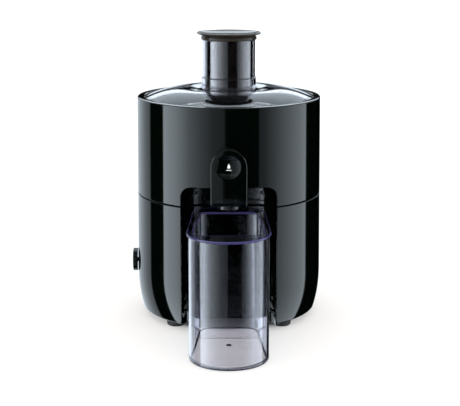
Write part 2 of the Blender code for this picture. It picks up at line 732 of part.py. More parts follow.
def pusher():
    inner_r = PUSHER_R - PUSHER_WALL
    cup = [(0, PUSHER_LOW + 0.0025), (inner_r, PUSHER_LOW + 0.0025), (inner_r, CHUTE_HIGH)]
    cup += [(PUSHER_R, CHUTE_HIGH), (PUSHER_R, PUSHER_LOW + 0.002), (PUSHER_R - 0.0015, PUSHER_LOW)]
    cup += [(0, PUSHER_LOW)]
    node("pusher_body", turned(cup, 40), "pusher", "dark_grey")
    rim = [(0, 0.3885), (0.032, 0.3888), (0.0415, 0.3907), (0.0428, 0.3910), (0.0437, 0.3902)]
    rim += [(0.0430, 0.3890), (0.0365, 0.3870), (0.0355, 0.3860), (0.0377, 0.3852)]
    plug_r = inner_r - 0.0006
    rim += [(0.0377, CHUTE_HIGH + GAP), (plug_r, CHUTE_HIGH + GAP), (plug_r, 0.3775), (0, 0.3775)]
    node("pusher_cap", turned(rim, 32), "pusher", "dark_grey")


# ---------------------------------------------------------------- jug


def tapered_plan(front_r, back_half, back_y, back_r):
    """Outline with a round front about the jug's centre and sides that close in towards the back."""
    front_y = JUG_CENTRE_Y - front_r
    taper = (front_r - back_half) / (back_y - JUG_CENTRE_Y)
    corner_x = front_r * (1 + taper)
    round_r = 0.93 * corner_x  # leaves a short flat between the two front arcs
    corners = [(-corner_x, front_y, round_r), (corner_x, front_y, round_r)]
    corners += [(back_half, back_y, back_r), (-back_half, back_y, back_r)]
    return rounded(corners, steps=9)


def jug_plan(inset):
    return tapered_plan(JUG_R - inset, JUG_BACK_HALF - inset, JUG_BACK_Y - inset, JUG_BACK_R - inset)


def jug():
    node(
        "jug",
        prism([jug_plan(0)], 0, JUG_HIGH),
        "jug",
        "clear",
        cuts=[tool("jug_inside", prism([jug_plan(JUG_WALL)], JUG_FLOOR, 0.2))],
    )
    rim = tapered_plan(JUG_LID_R, 0.047, JUG_LID_BACK_Y, 0.035)
    right = [(0.0438, -0.225, 0.004), (0.0436, -0.182, 0.02), (0.0355, -0.099, 0.006)]
    mouth = right + [(-x, y, radius) for x, y, radius in reversed(right)]
    low = JUG_HIGH + GAP
    node(
        "jug_lid",
        prism([rim, rounded(mouth, steps=3)], low, low + JUG_LID_THICK),
        "jug_lid",
        "clear",
    )
    node("foam_separator", box((-0.042, -0.2255, 0.032), (0.042, -0.2237, JUG_HIGH)), "jug_lid", "clear")


base_shell()
base_plate()
feet_and_screws()
motor_stator()
motor_fittings()
rotor()
controls()
pulp_housing()
bowl()
spout()
spout_cover()
drip_stop()
basket()
lid()
pusher()
jug()
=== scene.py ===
"""Looks of the centrifugal juicer: fine casings, clear plastics, metal basket, studio and camera.

Every shape is worked out about the motor axis in metres, and then moved to where the frame has it.
"""

import json
from math import asin, atan2, cos, hypot, pi, radians, sin, sqrt, tan

import bmesh
import bpy
from mathutils import Matrix, Vector

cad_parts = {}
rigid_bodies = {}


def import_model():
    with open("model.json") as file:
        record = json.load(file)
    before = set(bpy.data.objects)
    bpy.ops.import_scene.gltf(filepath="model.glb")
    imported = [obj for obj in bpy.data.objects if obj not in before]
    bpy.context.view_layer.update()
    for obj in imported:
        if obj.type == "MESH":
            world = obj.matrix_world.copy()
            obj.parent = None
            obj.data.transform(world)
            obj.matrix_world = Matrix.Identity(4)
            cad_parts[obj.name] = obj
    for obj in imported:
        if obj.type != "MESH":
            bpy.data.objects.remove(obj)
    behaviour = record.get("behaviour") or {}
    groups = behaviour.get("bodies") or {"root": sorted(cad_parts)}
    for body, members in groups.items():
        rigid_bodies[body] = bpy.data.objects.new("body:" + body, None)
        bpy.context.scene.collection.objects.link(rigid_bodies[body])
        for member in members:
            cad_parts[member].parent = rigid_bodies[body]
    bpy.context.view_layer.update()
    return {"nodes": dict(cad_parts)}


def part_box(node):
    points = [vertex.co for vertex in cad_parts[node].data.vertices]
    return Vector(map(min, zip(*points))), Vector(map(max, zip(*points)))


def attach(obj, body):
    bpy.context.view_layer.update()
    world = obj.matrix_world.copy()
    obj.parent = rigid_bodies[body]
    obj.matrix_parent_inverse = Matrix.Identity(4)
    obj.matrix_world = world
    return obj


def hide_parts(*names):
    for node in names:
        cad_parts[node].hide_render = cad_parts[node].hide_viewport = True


for old in list(bpy.data.objects):
    bpy.data.objects.remove(old)
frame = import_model()

# ---------------- places read from the frame

SHAFT_LOW, SHAFT_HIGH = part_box("motor_shaft")
AXIS = Vector(((SHAFT_LOW.x + SHAFT_HIGH.x) / 2, (SHAFT_LOW.y + SHAFT_HIGH.y) / 2, 0))


def local_box(name):
    """A CAD node's corners, measured from the foot of the motor axis."""
    low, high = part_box(name)
    return low - AXIS, high - AXIS


HOUSING_LOW, HOUSING_HIGH = local_box("pulp_housing")
RIM_Z = local_box("pulp_housing_wall")[1].z
BASE_LOW, BASE_HIGH = local_box("base_shell")
JUG_TOP_Z = local_box("jug")[1].z
JUG_LID_LOW, JUG_LID_HIGH = local_box("jug_lid")
HOOD_LOW, HOOD_HIGH = local_box("spout_cover")
VALVE_LOW, VALVE_HIGH = local_box("drip_stop_knob")
LID_LOW, LID_HIGH = local_box("lid")
BASKET_LOW, BASKET_HIGH = local_box("basket_rim")
CAP_LOW, CAP_HIGH = local_box("pusher_cap")

SEAM_R = HOUSING_HIGH.y  # the body's radius where the base and the housing meet
SEAM_Z = HOUSING_LOW.z
BOTTOM_Z = BASE_LOW.z
DECK_Z = SEAM_Z - 0.0015  # top of the base's skin, which leaves a shadow gap under the housing
DRAFT = radians(0.5)
TUCK_Z, TUCK, TUCK_POWER = 0.070, 0.0085, 2.4  # where the foot starts to draw in, how far, how late
WALL = 0.0028
BAY_HALF, BAY_BACK_Y, BAY_PLAN_R = 0.0625, -0.062, 0.038
BAY_TOP_Z, BAY_TOP_R = 0.200, 0.015
LEDGES = ((0.046, 0.002), (0.025, 0.006))  # height of each ledge, and how far it stands forward
VALVE_Z = (VALVE_LOW.z + VALVE_HIGH.z) / 2


def body_radius(z):
    """Radius of the body's outside: wider towards the foot by its draft, then tucked in."""
    radius = SEAM_R + (SEAM_Z - z) * tan(DRAFT)
    if z < TUCK_Z:
        radius -= TUCK * ((TUCK_Z - z) / (TUCK_Z - BOTTOM_Z)) ** TUCK_POWER
    return radius


# ---------------- shape tools


def turned_ring(radius, z, steps):
    """A circle of points about the axis, or one point where it has no radius."""
    if radius < 1e-7:
        return [Vector((0, 0, z))]
    turns = [2 * pi * i / steps for i in range(steps)]
    return [Vector((radius * sin(t), -radius * cos(t), z)) for t in turns]


def quarter(steps, first=0):
    """Sine and cosine at even steps through a quarter turn, to round an edge off."""
    turns = [pi / 2 * i / steps for i in range(first, steps + 1)]
    return [(sin(t), cos(t)) for t in turns]


def heights(low, high, step=0.008):
    """Even heights from one to another, about a step apart."""
    count = max(1, round((high - low) / step))
    return [low + (high - low) * i / count for i in range(count + 1)]


def bridge(shape, first, second):
    """Joins two rings with faces; a ring of one point closes an end."""
    count = max(len(first), len(second))
    for i in range(count):
        j = (i + 1) % count
        if len(first) == 1:
            shape.faces.new((first[0], second[j], second[i]))
        elif len(second) == 1:
            shape.faces.new((first[i], first[j], second[0]))
        else:
            shape.faces.new((first[i], first[j], second[j], second[i]))


def add_rings(shape, rings, closed=False):
    """Joins each ring of points to the next, and if closed the last to the first."""
    made = [[shape.verts.new(point) for point in ring] for ring in rings]
    following = made[1:] + made[:1] if closed else made[1:]
    for first, second in zip(made, following):
        bridge(shape, first, second)
    return made


def fill_between(shape, *loops):
    """A flat face between an outline and the holes in it."""
    edges = []
    for loop in loops:
        for i, vert in enumerate(loop):
            other = loop[(i + 1) % len(loop)]
            edges.append(shape.edges.get((vert, other)) or shape.edges.new((vert, other)))
    bmesh.ops.triangle_fill(shape, use_beauty=True, use_dissolve=False, edges=edges)


def smoothed(shape, sharp=32):
    """The mesh of a bmesh, shaded smooth but for edges sharper than an angle in degrees."""
    mesh = bpy.data.meshes.new("shape")
    shape.to_mesh(mesh)
    shape.free()
    mesh.shade_smooth()
    mesh.set_sharp_from_angle(angle=radians(sharp))
    return mesh


def mesh_of(shape, sharp=32):
    """The smoothed mesh of a bmesh, with its faces turned out."""
    bmesh.ops.recalc_face_normals(shape, faces=shape.faces)
    return smoothed(shape, sharp)


def filleted(points, closed=False, steps=4):
    """A path through (x, y) or (x, y, radius) points, each corner rounded by its radius."""
    path = []
    last = len(points) - 1
    for i, point in enumerate(points):
        corner = Vector(point[:2])
        radius = point[2] if len(point) > 2 else 0
        if radius == 0 or (not closed and i in (0, last)):
            path.append(corner)
            continue
        back = (Vector(points[i - 1][:2]) - corner).normalized()
        onward = (Vector(points[(i + 1) % len(points)][:2]) - corner).normalized()
        half = back.angle(onward) / 2
        centre = corner + (back + onward).normalized() * radius / sin(half)
        start = corner + back * radius / tan(half) - centre
        turn = (pi - 2 * half) * (1 if onward.cross(back) > 0 else -1)
        for k in range(steps + 1):
            path.append(centre + Matrix.Rotation(turn * k / steps, 2) @ start)
    return path


def rectangle(half_x, front_y, back_y, front_r, back_r=None):
    """An outline about x = 0 with rounded corners, which may have another radius at the back."""
    back_r = front_r if back_r is None else back_r
    corners = [(-half_x, front_y, front_r), (half_x, front_y, front_r)]
    corners += [(half_x, back_y, back_r), (-half_x, back_y, back_r)]
    return filleted(corners, closed=True)


def lathe(profile, closed=True, steps=144, fillet_steps=4, sharp=32):
    """A turned shape. The profile holds (radius, height) or (radius, height, fillet) points."""
    shape = bmesh.new()
    path = filleted(profile, closed, fillet_steps)
    add_rings(shape, [turned_ring(r, z, steps) for r, z in path], closed)
    return mesh_of(shape, sharp)


def stacked(outlines, sharp=32):
    """A solid through flat outlines, each a list of (x, y) points and a height, with both ends closed."""
    shape = bmesh.new()
    rings = [[Vector((x, y, z)) for x, y in outline] for outline, z in outlines]
    made = add_rings(shape, rings)
    shape.faces.new(made[0])
    shape.faces.new(made[-1])
    return mesh_of(shape, sharp)


def joined(*meshes):
    """Several meshes as one, each keeping its own surface."""
    shape = bmesh.new()
    for mesh in meshes:
        shape.from_mesh(mesh)
    return smoothed(shape)


def moved(mesh, matrix):
    mesh.transform(matrix)
    return mesh


def facing_front(mesh, y, z):
    """A shape built up from z = 0, laid to face -Y and moved to a place."""
    return moved(mesh, Matrix.Translation((0, y, z)) @ Matrix.Rotation(pi / 2, 4, "X"))


def piece(name, mesh, body, finish, replaced=(), edge=None, own_normals=False):
    """Puts a shape on a CAD body, in place of the CAD nodes it stands for.

    An edge is a second finish, and a test of which faces have it. Unless the shape brings normals of
    its own, wide faces have the say over shading, so that flats stay flat beside rounded edges.
    """
    mesh.name = name
    mesh.materials.clear()
    mesh.materials.append(finish)
    if edge:
        edge_finish, has_edge_finish = edge
        mesh.materials.append(edge_finish)
        for face in mesh.polygons:
            face.material_index = int(has_edge_finish(face))
    obj = bpy.data.objects.new(name, mesh)
    bpy.context.scene.collection.objects.link(obj)
    obj.location = AXIS
    if not own_normals:
        modifier = obj.modifiers.new("weighted_normals", "WEIGHTED_NORMAL")
        modifier.keep_sharp = True
        modifier.weight = 60
    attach(obj, body)
    if replaced:
        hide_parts(*replaced)


# ---------------- materials


class Finish:
    """A node material about one Principled shader, with small helpers for its texture nodes."""

    def __init__(self, name, **values):
        self.material = bpy.data.materials.new(name)
        self.material.use_nodes = True
        self.tree = self.material.node_tree
        self.shader = self.tree.nodes["Principled BSDF"]
        for socket, value in values.items():
            self.shader.inputs[socket.replace("_", " ")].default_value = value

    def node(self, kind, **settings):
        made = self.tree.nodes.new(kind)
        for name, value in settings.items():
            if name in made.inputs:
                made.inputs[name].default_value = value
            else:
                setattr(made, name, value)
        return made

    def link(self, output, socket):
        self.tree.links.new(output, socket)

    def coordinates(self, stretch=(1, 1, 1)):
        place = self.node("ShaderNodeTexCoord")
        mapping = self.node("ShaderNodeMapping", Scale=stretch)
        self.link(place.outputs["Object"], mapping.inputs["Vector"])
        return mapping.outputs["Vector"]

    def noise(self, scale, stretch=(1, 1, 1)):
        made = self.node("ShaderNodeTexNoise", Scale=scale, Detail=3)
        self.link(self.coordinates(stretch), made.inputs["Vector"])
        return made.outputs["Fac"]

    def ranged(self, value, low, high, from_low=0.3, from_high=0.7):
        """A value carried from one range to another; noise mostly lies between 0.3 and 0.7."""
        ends = {"From Min": from_low, "From Max": from_high, "To Min": low, "To Max": high}
        made = self.node("ShaderNodeMapRange", **ends)
        self.link(value, made.inputs["Value"])
        return made.outputs["Result"]

    def blended(self, value, first, second):
        made = self.node("ShaderNodeMixRGB", Color1=(*first, 1), Color2=(*second, 1))
        self.link(value, made.inputs["Fac"])
        return made.outputs["Color"]

    def bump(self, height, strength, distance):
        made = self.node("ShaderNodeBump", Strength=strength, Distance=distance)
        self.link(height, made.inputs["Height"])
        self.link(made.outputs["Normal"], self.shader.inputs["Normal"])

    def vary(self, scale, rough, colours=None, bump=None, stretch=(1, 1, 1)):
        """Noise over roughness, and if given over colour and height."""
        noise = self.noise(scale, stretch)
        self.link(self.ranged(noise, *rough), self.shader.inputs["Roughness"])
        if colours:
            self.link(self.blended(noise, *colours), self.shader.inputs["Base Color"])
        if bump:
            self.bump(noise, *bump)
        return self.material


def darker(colour, share):
    return tuple(share * c for c in colour)


def gloss_black():
    finish = Finish("gloss_black_plastic", IOR=1.52)
    colours = ((0.0005, 0.0016, 0.0010), (0.0007, 0.0022, 0.0014))
    return finish.vary(55, (0.035, 0.075), colours, (0.02, 0.00005))


def satin(name, colour, rough, gloss=0.5):
    """Plastic with a fine grain, in any colour."""
    finish = Finish(name, Specular_IOR_Level=gloss)
    return finish.vary(900, rough, (darker(colour, 0.75), colour), (0.15, 0.0001))


def dark_glaze():
    """The pusher's smooth warm-grey plastic."""
    finish = Finish("warm_grey_plastic", IOR=1.90, Specular_Tint=(1.0, 0.93, 0.90, 1))
    return finish.vary(40, (0.06, 0.10), ((0.008, 0.007, 0.007), (0.011, 0.010, 0.010)))

def clear_plastic(name, tint, density):
    """Polished clear plastic, whose long paths along an edge take the tint."""
    finish = Finish(name, Transmission_Weight=1.0, IOR=1.50)
    finish.shader.inputs["Base Color"].default_value = (0.985, 0.976, 1, 1)
    finish.link(finish.ranged(finish.noise(18), 0.0, 0.02), finish.shader.inputs["Roughness"])
    absorb = finish.node("ShaderNodeVolumeAbsorption", Color=(*tint, 1), Density=density)
    output = finish.tree.nodes["Material Output"]
    finish.link(absorb.outputs["Volume"], output.inputs["Volume"])
    return finish.material


def turned_metal(name, colour, rough):
    """Spun sheet steel: fine rings about the axis."""
    finish = Finish(name, Metallic=1.0)
    place = finish.node("ShaderNodeTexCoord")
    split = finish.node("ShaderNodeSeparateXYZ")
    finish.link(place.outputs["Object"], split.inputs["Vector"])
    flat = finish.node("ShaderNodeCombineXYZ")
    finish.link(split.outputs["X"], flat.inputs["X"])
    finish.link(split.outputs["Y"], flat.inputs["Y"])
    length = finish.node("ShaderNodeVectorMath", operation="LENGTH")
    finish.link(flat.outputs["Vector"], length.inputs["Vector"])
    along = finish.node("ShaderNodeCombineXYZ")
    finish.link(length.outputs["Value"], along.inputs["X"])
    finish.link(split.outputs["Z"], along.inputs["Y"])
    rings = finish.node("ShaderNodeTexNoise", Scale=2500, Detail=2)
    finish.link(along.outputs["Vector"], rings.inputs["Vector"])
    value = rings.outputs["Fac"]
    lighter = tuple(min(1.0, 1.12 * c) for c in colour)
    finish.link(finish.blended(value, colour, lighter), finish.shader.inputs["Base Color"])
    finish.link(finish.ranged(value, *rough), finish.shader.inputs["Roughness"])
    finish.bump(value, 0.08, 0.00005)
    return finish.material


def plain_metal(name, colour, rough, scale=200, stretch=(1, 1, 1)):
    finish = Finish(name, Metallic=1.0)
    return finish.vary(scale, rough, (darker(colour, 0.8), colour), (0.08, 0.0001), stretch)


def rubber():
    colours = ((0.016, 0.016, 0.017), (0.028, 0.028, 0.029))
    return Finish("black_rubber").vary(600, (0.62, 0.80), colours, (0.3, 0.0002))


def white_print():
    return Finish("white_print").vary(300, (0.30, 0.42), ((0.80, 0.81, 0.81), (0.86, 0.87, 0.87)))


GLOSS_BLACK = gloss_black()
SATIN_BLACK = satin("satin_black_plastic", (0.020, 0.020, 0.021), (0.30, 0.42))
WARM_GREY = dark_glaze()
CAP_GREY = satin("cap_grey_plastic", (0.032, 0.028, 0.023), (0.10, 0.16), 0.25)
SPOUT_GREY = satin("spout_grey_plastic", (0.014, 0.016, 0.018), (0.06, 0.12))
BOWL_GREY = satin("dark_bowl_plastic", (0.030, 0.030, 0.032), (0.10, 0.18))
WHITE_PLASTIC = satin("white_plastic", (0.72, 0.72, 0.69), (0.38, 0.50))
WHITE_PRINT = white_print()
CLEAR = clear_plastic("clear_plastic", (0.36, 0.34, 0.80), 18)
LID_CLEAR = clear_plastic("lid_clear_plastic", (0.40, 0.42, 0.70), 22)
# Opaque violet for the clear lid's cut edges: painted edge light, in place of the tint that light carries
# along clear plastic.
VIOLET_PAINTED_EDGE_LIGHT = satin("violet_painted_edge_light", (0.040, 0.035, 0.125), (0.10, 0.20))
# Opaque navy for the jug's bottom edge: painted shade, for the dark line that refraction gives clear
# plastic there.
NAVY_PAINTED_FOOT_SHADE = satin("navy_painted_foot_shade", (0.018, 0.018, 0.06), (0.10, 0.18))
# The gate mark is a clear nub, painted dark as painted shade for how it bends light.
GATE_PAINTED_SHADE = satin("gate_mark_painted_shade", (0.03, 0.03, 0.06), (0.2, 0.3))
RUBBER = rubber()
STAINLESS = turned_metal("spun_stainless", (0.70, 0.67, 0.60), (0.30, 0.42))
STEEL = plain_metal("machined_steel", (0.50, 0.50, 0.51), (0.28, 0.42))
LAMINATION = plain_metal("lamination_stack", (0.16, 0.16, 0.17), (0.40, 0.55), 900, (0.05, 0.05, 4))
COPPER = plain_metal("enamelled_copper", (0.70, 0.30, 0.14), (0.28, 0.42), 1200, (1, 1, 0.05))


# ---------------- body casings

ARC_POINTS, EDGE_POINTS, SIDE_POINTS, CORNER_POINTS, BACK_POINTS = 150, 5, 6, 14, 8
BAY_POINTS = 2 * (EDGE_POINTS + SIDE_POINTS + CORNER_POINTS) + BACK_POINTS - 1
EDGE_R = 0.0009  # rounding of the bay's edges
SEAM_EDGE = 0.0008  # rounding of the two edges at the seam


def bay_half(z, grow=0.0):
    """Half the bay's width at a height: straight sides, then the rounded top corners."""
    rise = z - (BAY_TOP_Z - BAY_TOP_R)
    if rise <= 0:
        return BAY_HALF + grow
    radius = BAY_TOP_R + grow
    return BAY_HALF - BAY_TOP_R + sqrt(max(0, radius**2 - rise**2))


def arc_turns(first):
    """Even angles round the back of the body, from one side of the bay to the other."""
    return [first + (2 * pi - 2 * first) * i / ARC_POINTS for i in range(ARC_POINTS + 1)]


def section(radius, z, grow=0.0, forward=0.0, edge=EDGE_R):
    """The body's outline at a height: round the back from one side of the bay to the other, then in.

    grow widens the bay all round, and forward brings its back towards the front.
    """
    half = bay_half(z, grow)
    edge_x = half + edge
    edge_y = -sqrt((radius - edge) ** 2 - edge_x**2)
    turns = arc_turns(atan2(edge_x, -edge_y))
    outside = [Vector((radius * sin(t), -radius * cos(t), z)) for t in turns]
    left = edge_arc(-edge_x, edge_y, edge, z)
    right = [Vector((-p.x, p.y, z)) for p in reversed(left)]
    wall = bay_wall(half, edge_y, BAY_BACK_Y + grow - forward, BAY_PLAN_R + grow)
    return outside + left[1:] + [Vector((x, y, z)) for x, y in wall] + right[:-1]


def edge_arc(x, y, edge, z):
    """The rounded edge between the body's outside and the left side of the bay."""
    if edge == 0:
        return [Vector((x, y, z))] * (EDGE_POINTS + 1)
    start = atan2(y, x)
    turns = [start * (1 - i / EDGE_POINTS) for i in range(EDGE_POINTS + 1)]
    return [Vector((x + edge * cos(t), y + edge * sin(t), z)) for t in turns]


def bay_wall(half, front_y, back_y, plan_r):
    """The bay's wall as (x, y) points, from the left front edge round the back to the right one."""
    corner_y = back_y - plan_r
    side = [front_y + (corner_y - front_y) * i / SIDE_POINTS for i in range(1, SIDE_POINTS + 1)]
    points = [(-half, y) for y in side]
    middle = half - plan_r
    for i in range(1, CORNER_POINTS + 1):
        turn = pi - pi / 2 * i / CORNER_POINTS
        points.append((-middle + plan_r * cos(turn), corner_y + plan_r * sin(turn)))
    points += [(-middle + 2 * middle * i / BACK_POINTS, back_y) for i in range(1, BACK_POINTS)]
    return points + [(-x, y) for x, y in reversed(points[: SIDE_POINTS + CORNER_POINTS])]


def round_section(radius, z, grow=0.0, inset=0.0):
    """A full circle with as many points as a section, spaced to meet the one at the bay's top.

    inset draws in the points over the bay.
    """
    edge = 0 if grow else EDGE_R
    first = asin((bay_half(BAY_TOP_Z + grow, grow) + edge) / (radius - edge))
    over_bay = [2 * pi - first + 2 * first * i / (BAY_POINTS + 1) for i in range(1, BAY_POINTS + 1)]
    reach = [radius] * (ARC_POINTS + 1) + [radius - inset] * BAY_POINTS
    turns = arc_turns(first) + over_bay
    return [Vector((r * sin(t), -r * cos(t), z)) for r, t in zip(reach, turns)]


def add_seat(shape, loop, rings):
    """Joins an outline to a turned boss or tube, by a flat face with a round hole."""
    made = add_rings(shape, [turned_ring(r, z, 96) for r, z in rings])
    fill_between(shape, loop, made[0])
    return made[-1]


def outside_normals(mesh):
    """Points the shading of the outer wall straight out, whatever the faces beside it do."""
    normals = [corner.vector.copy() for corner in mesh.corner_normals]
    step, on_wall, along_wall = 1e-4, 3e-5, 0.99

    def outward(place):
        lean = (body_radius(place.z + step) - body_radius(place.z - step)) / (2 * step)
        flat = Vector((place.x, place.y, 0)).normalized()
        return Vector((flat.x, flat.y, -lean)).normalized()

    for face in mesh.polygons:
        for loop in face.loop_indices:
            place = mesh.vertices[mesh.loops[loop].vertex_index].co
            off_wall = abs(hypot(place.x, place.y) - body_radius(place.z))
            if off_wall < on_wall and face.normal.dot(outward(face.center)) > along_wall:
                normals[loop] = outward(place)
    mesh.normals_split_custom_set(normals)


def base_casing():
    """The motor base's skin: deck and boss, outer wall, bottom lip, and the wall's inside."""
    shape = bmesh.new()
    deck_r, ledge_edge, lip_edge = body_radius(DECK_Z), 0.0006, 0.0045
    rows = []
    for sine, cosine in quarter(3):
        rows.append(section(deck_r - SEAM_EDGE * (1 - sine), DECK_Z - SEAM_EDGE * (1 - cosine)))
    wall_zs = heights(LEDGES[0][0], DECK_Z - 0.002)
    rows += [section(body_radius(z), z) for z in reversed(wall_zs)]
    for (high, forward), low in zip(LEDGES, (LEDGES[1][0], BOTTOM_Z + 0.005)):
        for drop, inset in ((0, ledge_edge), (0.3 * ledge_edge, 0.3 * ledge_edge)):
            rows.append(section(body_radius(high - drop), high - drop, forward=forward - inset))
        ledge_zs = heights(low + 0.0004, high - ledge_edge, 0.004)
        rows += [section(body_radius(z), z, forward=forward) for z in reversed(ledge_zs)]
    lip_r, side_r = body_radius(BOTTOM_Z) - lip_edge, body_radius(BOTTOM_Z + lip_edge)
    for sine, cosine in quarter(7, 1):
        radius = lip_r + (side_r - lip_r) * cosine
        rows.append(section(radius, BOTTOM_Z + lip_edge * (1 - sine), forward=forward))
    rows.append(section(lip_r - 0.002, BOTTOM_Z, 0.0006, forward))
    for z in (BOTTOM_Z + 0.0065, 0.030, 0.048, TUCK_Z, DECK_Z - WALL):
        rows.append(section(body_radius(z) - WALL, z, WALL))
    made = add_rings(shape, rows)
    boss_r, boss_bore, boss_top, hole_r = 0.022, 0.018, BASE_HIGH.z, 0.0085
    under_top = boss_top - WALL
    boss = [(boss_r, DECK_Z), (boss_r, boss_top, 0.0012), (hole_r, boss_top), (hole_r, under_top)]
    bore = [(boss_bore, under_top), (boss_bore, DECK_Z - WALL)]
    fill_between(shape, made[-1], add_seat(shape, made[0], filleted(boss) + bore))
    mesh = mesh_of(shape)
    outside_normals(mesh)
    piece("base_casing", mesh, "base", GLOSS_BLACK, ["base_shell"], own_normals=True)


def housing_casing():
    """The pulp housing's skin: ring, outer wall, bay, floor and tube, and the wall's inside."""
    shape = bmesh.new()
    ring_r, ledge_r, ledge_z = 0.1148, 0.110, 0.301  # the rim's ring, and the ledge the lid sits on
    rim_r = body_radius(RIM_Z - 0.0016)
    path = [(ring_r, ledge_z), (ring_r, RIM_Z - 0.0004, 0.0004), (ring_r + 0.0010, RIM_Z, 0.0004)]
    path += [(rim_r, RIM_Z, 0.0015), (rim_r, RIM_Z - 0.004)]
    rows = [round_section(r, z) for r, z in filleted(path, steps=5)]
    wall_zs = heights(BAY_TOP_Z + EDGE_R, RIM_Z - 0.005)
    rows += [round_section(body_radius(z), z) for z in reversed(wall_zs)]
    bay_top_r, seam_r = body_radius(BAY_TOP_Z), body_radius(SEAM_Z)
    for sine, cosine in quarter(3, 1):
        inset = EDGE_R * (1 - cosine)
        rows.append(round_section(bay_top_r, BAY_TOP_Z + EDGE_R * (1 - sine), inset=inset))
    bay_zs = [BAY_TOP_Z - BAY_TOP_R * (1 - cosine) for _, cosine in quarter(10)]
    bay_zs += reversed(heights(SEAM_Z + 0.002, bay_zs[-1] - 0.002, 0.004))
    rows += [section(body_radius(z), z) for z in bay_zs]
    for sine, cosine in quarter(3):
        rows.append(section(seam_r - SEAM_EDGE * (1 - cosine), SEAM_Z + SEAM_EDGE * (1 - sine)))
    outer = add_rings(shape, rows)
    tube_r, tube_out, tube_top, floor_z = 0.027, 0.0295, 0.2005, SEAM_Z + 0.0026
    tube = [(tube_r, SEAM_Z), (tube_r, tube_top, 0.0008), (tube_out, tube_top, 0.0008)]
    tube += [(tube_out, floor_z)]
    tube_foot = add_seat(shape, outer[-1], filleted(tube))
    roof_z, under_ledge = BAY_TOP_Z + WALL, ledge_z - 0.0025
    inside_zs = (floor_z, 0.183, 0.186, 0.190, 0.194, 0.198, 0.2012, roof_z)
    inner_low = add_rings(shape, [section(body_radius(z) - WALL, z, WALL, edge=0) for z in inside_zs])
    fill_between(shape, inner_low[0], tube_foot)
    rows = [round_section(body_radius(z) - WALL, z, WALL) for z in (roof_z, 0.24, under_ledge)]
    rows += [round_section(ledge_r, z, WALL) for z in (under_ledge, ledge_z)]
    inner_high = add_rings(shape, rows)
    bridge(shape, inner_low[-1], inner_high[0])
    bridge(shape, inner_high[-1], outer[0])
    bmesh.ops.remove_doubles(shape, verts=shape.verts, dist=1e-6)
    mesh = mesh_of(shape)
    outside_normals(mesh)
    nodes = ["pulp_housing", "pulp_housing_wall"]
    piece("housing_casing", mesh, "housing", GLOSS_BLACK, nodes, own_normals=True)


# ---------------- spout and knobs

HOOD_CROWN_R = 0.19  # how round the hood's flat face is shaded, across its width


def arch_outline(half, low, centre_z, corner):
    """An upright outline as (x, z) points: straight sides, half-round top, and rounded foot corners."""
    sides = [(-half, centre_z), (-half, low, corner), (half, low, corner), (half, centre_z)]
    turns = [pi * i / 28 for i in range(1, 28)]
    top = [Vector((half * cos(t), centre_z + half * sin(t))) for t in turns]
    return filleted(sides, steps=5) + top


def hood_back_y(x, z):
    """Where the hood's wall ends: at the body's skin, and over the bay at the hood's own back."""
    skin = -sqrt((body_radius(z) + 0.0005) ** 2 - x * x)
    ease_height = 0.0004
    ease = min(1.0, max(0.0, (z - (BAY_TOP_Z - ease_height)) / ease_height))
    return HOOD_HIGH.y + (skin - HOOD_HIGH.y) * ease


def spout_hood():
    """The spout's hood: rounded face edge, thin walls, a hole for the knob, and an open foot."""
    half, low, face_y = HOOD_HIGH.x, HOOD_LOW.z, HOOD_LOW.y
    centre_z = HOOD_HIGH.z - half
    wall, edge, corner, hole_r, hole_flare = 0.0022, 0.0016, 0.0006, 0.0167, 0.0004
    shape = bmesh.new()
    rows = []
    for sine, cosine in quarter(5):
        grow = edge * sine
        outline = arch_outline(half - edge + grow, low + edge - grow, centre_z, corner + grow)
        rows.append([Vector((x, face_y + edge * (1 - cosine), z)) for x, z in outline])
    made = add_rings(shape, rows)
    back = [Vector((v.co.x, hood_back_y(v.co.x, v.co.z), v.co.z)) for v in made[-1]]
    inner = arch_outline(half - wall, low + wall, centre_z, 0.0004)
    inner = [(x, low if abs(z - low - wall) < 1e-4 else z) for x, z in inner]
    inner_front = [Vector((x, face_y + wall, z)) for x, z in inner]
    inner_back = [Vector((x, b.y, z)) for (x, z), b in zip(inner, back)]
    rest = add_rings(shape, [back, inner_back, inner_front])
    bridge(shape, made[-1], rest[0])
    turns = [2 * pi * i / 64 for i in range(64)]
    hole = []
    for radius, depth in ((hole_r + hole_flare, 0), (hole_r, hole_flare), (hole_r, wall)):
        hole.append([Vector((radius * sin(t), face_y + depth, VALVE_Z + radius * cos(t))) for t in turns])
    rim = add_rings(shape, hole)
    fill_between(shape, made[0], rim[0])
    fill_between(shape, rest[-1], rim[-1])
    mesh = mesh_of(shape)
    crown_face(mesh, face_y)
    piece("spout_hood", mesh, "housing", GLOSS_BLACK, ["spout_cover"], own_normals=True)


def crown_face(mesh, face_y):
    """Shades the hood's face as slightly crowned across its width."""
    normals = [corner.vector.copy() for corner in mesh.corner_normals]
    for face in mesh.polygons:
        for loop in face.loop_indices:
            place = mesh.vertices[mesh.loops[loop].vertex_index].co
            if face.normal.y < -0.999 and abs(place.y - face_y) < 1e-5:
                normals[loop] = Vector((place.x / HOOD_CROWN_R, -1, 0)).normalized()
    mesh.normals_split_custom_set(normals)


